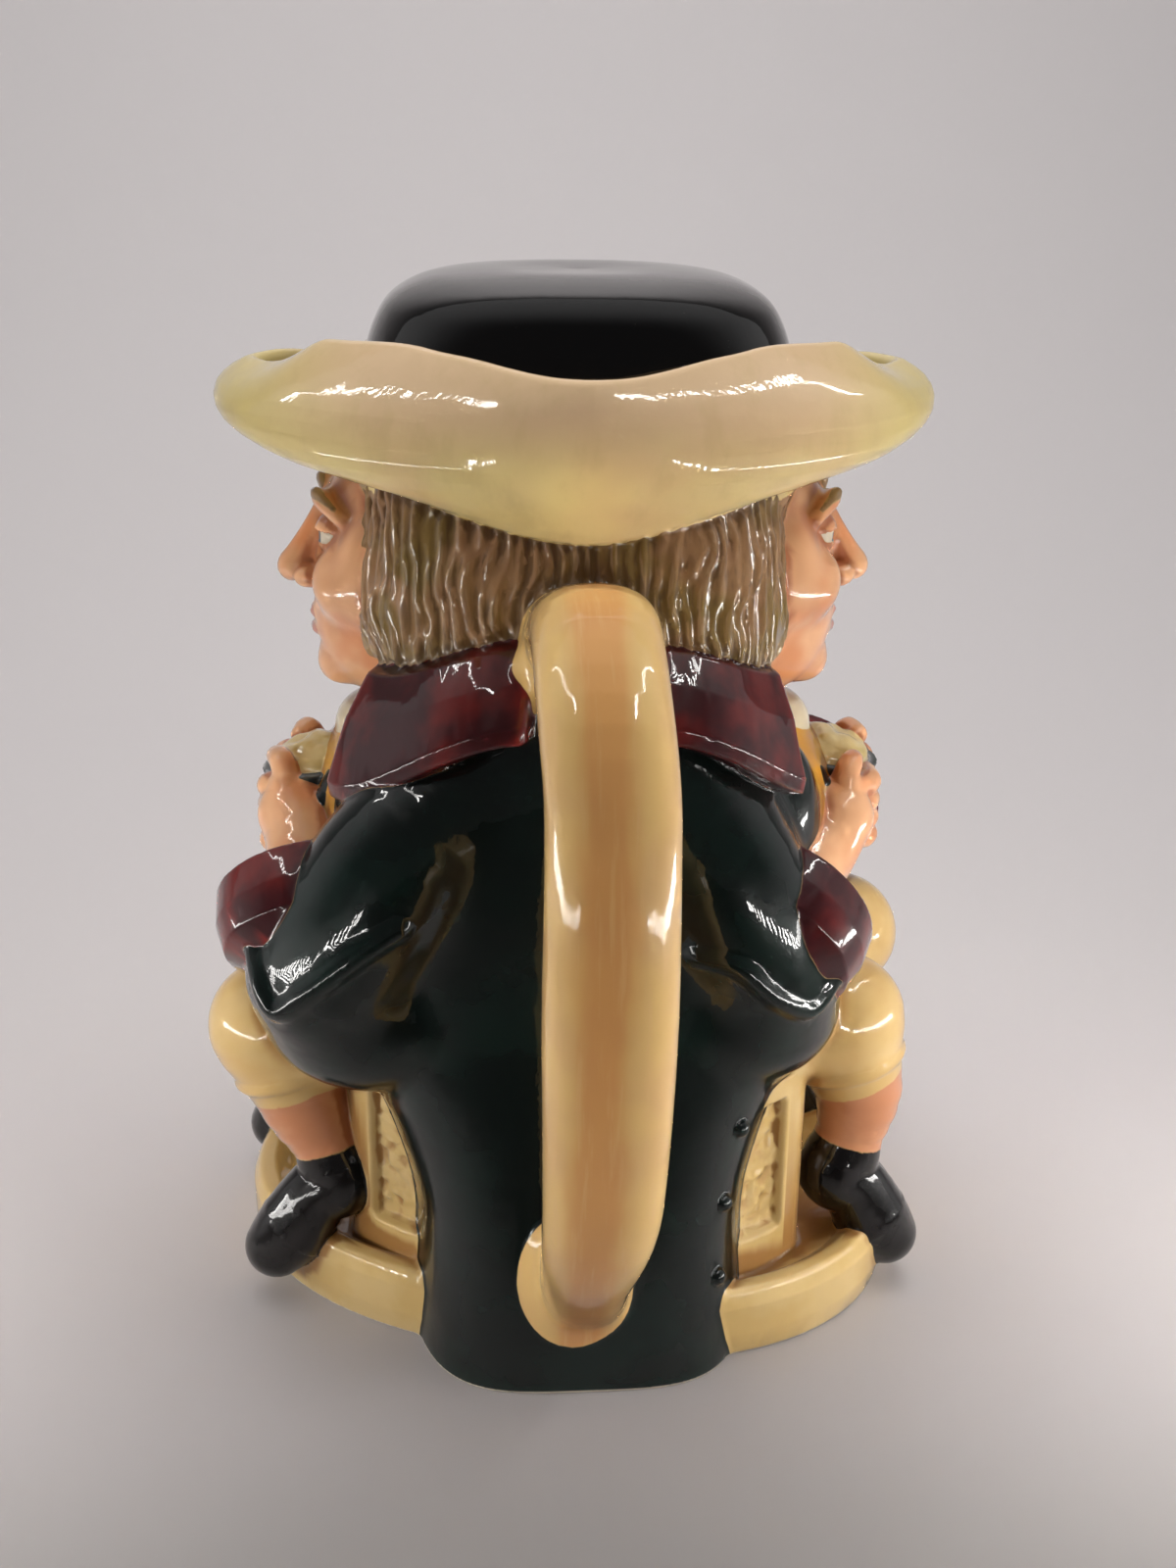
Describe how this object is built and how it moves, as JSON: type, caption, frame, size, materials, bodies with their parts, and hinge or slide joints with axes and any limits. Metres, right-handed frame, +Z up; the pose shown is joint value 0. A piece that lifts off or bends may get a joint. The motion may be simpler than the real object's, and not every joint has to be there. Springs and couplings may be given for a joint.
{
  "type": "toby teapot",
  "caption": "Glazed earthenware teapot cast as seated figures back to back, with loop handle, spout, turned-up hat brim and a hat-crown lid.",
  "frame": {"origin": "middle of the box round the teapot, on the table", "axes": "+Z up, handle towards -Y, spout towards +Y, figures looking along +X and -X"},
  "size_m": [0.1419, 0.1902, 0.2001],
  "materials": {
    "pot_glaze": "hand-painted under a clear gloss glaze",
    "lid_glaze": "gloss black glaze"
  },
  "bodies": {
    "root": {"pot": "pot_glaze", "lid": "lid_glaze"}
  },
  "joints": []
}
